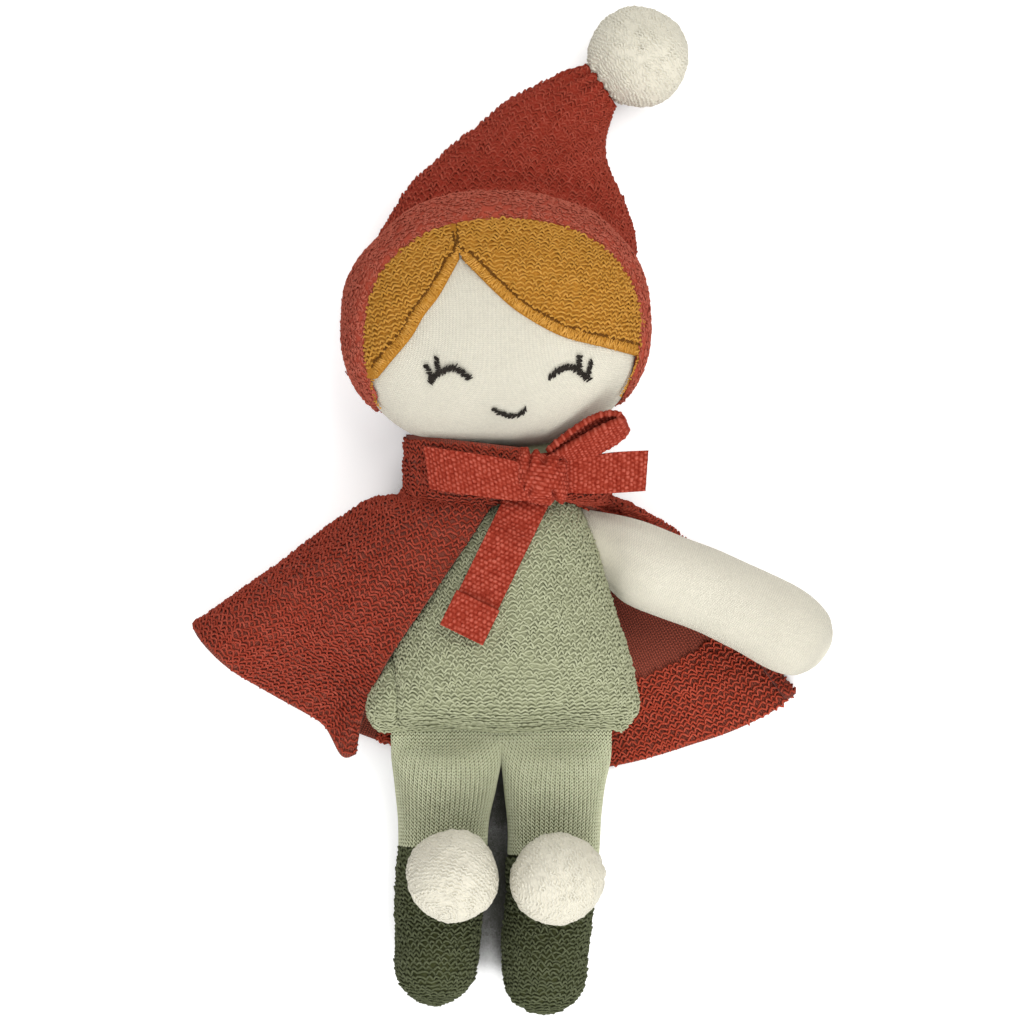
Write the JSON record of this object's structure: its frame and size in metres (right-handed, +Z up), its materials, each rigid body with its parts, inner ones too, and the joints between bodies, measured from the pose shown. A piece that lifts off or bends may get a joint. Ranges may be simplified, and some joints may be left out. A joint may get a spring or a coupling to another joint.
{
  "type": "plush elf doll",
  "caption": "Stuffed knitted elf doll lying on its back: round head in a hooded pointed hat with a pom, tunic body, sewn limbs, pom boots and a cape tied with a tape bow.",
  "frame": {"origin": "on the surface that the doll lies on, under the middle of its torso", "axes": "+X to the doll's left, +Y towards the tip of its hat, +Z up from the surface, the way its face looks"},
  "size_m": [0.1464, 0.233, 0.0501],
  "materials": {
    "cream_jersey": "fine cream stockinette jersey, matt",
    "pom_knit": "cream brushed knit, matt",
    "mustard_terry": "mustard loop-back terry, matt",
    "hood_pile": "dusty red brushed terry with a short pile",
    "red_terry": "brick red loop-back terry, matt",
    "tape_weave": "woven cotton tape, matt",
    "sage_terry": "sage green loop-back terry, matt",
    "sage_jersey": "sage green stockinette jersey, matt",
    "dark_terry": "dark olive loop-back terry, matt"
  },
  "bodies": {
    "torso": {"torso": "sage_terry", "cape_back": "red_terry", "cape_collar": "red_terry", "cape_shoulder_left": "red_terry", "ribbon_band": "tape_weave", "ribbon_knot": "tape_weave", "ribbon_loop": "tape_weave", "ribbon_tail_side": "tape_weave"},
    "head": {"head": "cream_jersey", "hood": "hood_pile", "hair_left": "mustard_terry", "hair_right": "mustard_terry", "hat_cone": "red_terry"},
    "hat_tip": {"hat_tip": "red_terry", "hat_pom": "pom_knit"},
    "arm_left": {"arm_left": "cream_jersey"},
    "arm_right": {"arm_right": "cream_jersey", "cape_flap_right": "red_terry"},
    "leg_left": {"leg_left": "sage_jersey", "boot_left": "dark_terry", "boot_pom_left": "pom_knit"},
    "leg_right": {"leg_right": "sage_jersey", "boot_right": "dark_terry", "boot_pom_right": "pom_knit"},
    "ribbon_tail": {"ribbon_tail_down": "tape_weave"}
  },
  "joints": [
    {"name": "neck_turn", "type": "hinge", "parent": "torso", "child": "head", "pos_m": [-0.0044, 0.0353, 0.0251], "axis": [0, 1, 0], "range_deg": [-18, 18]},
    {"name": "hat_flop", "type": "hinge", "parent": "head", "child": "hat_tip", "pos_m": [0.004, 0.1022, 0.0262], "axis": [1, 0, 0], "range_deg": [0, 75]},
    {"name": "shoulder_left", "type": "hinge", "parent": "torso", "child": "arm_left", "pos_m": [0.0195, 0.0118, 0.0221], "axis": [0.3261, -0.9453, 0], "range_deg": [0, 70]},
    {"name": "shoulder_right", "type": "hinge", "parent": "torso", "child": "arm_right", "pos_m": [-0.0178, 0.0118, 0.0221], "axis": [0.27, 0.9629, 0], "range_deg": [0, 40], "deforming": ["cape_flap_right"]},
    {"name": "hip_left", "type": "hinge", "parent": "torso", "child": "leg_left", "pos_m": [0.0096, -0.0294, 0.0222], "axis": [-1, 0, 0], "range_deg": [0, 70]},
    {"name": "hip_right", "type": "hinge", "parent": "torso", "child": "leg_right", "pos_m": [-0.0156, -0.0294, 0.0222], "axis": [-1, 0, 0], "range_deg": [0, 70]},
    {"name": "ribbon_tail_lift", "type": "hinge", "parent": "torso", "child": "ribbon_tail", "pos_m": [0.0032, 0.0247, 0.0355], "axis": [-0.899, 0.438, 0], "range_deg": [0, 55]}
  ]
}
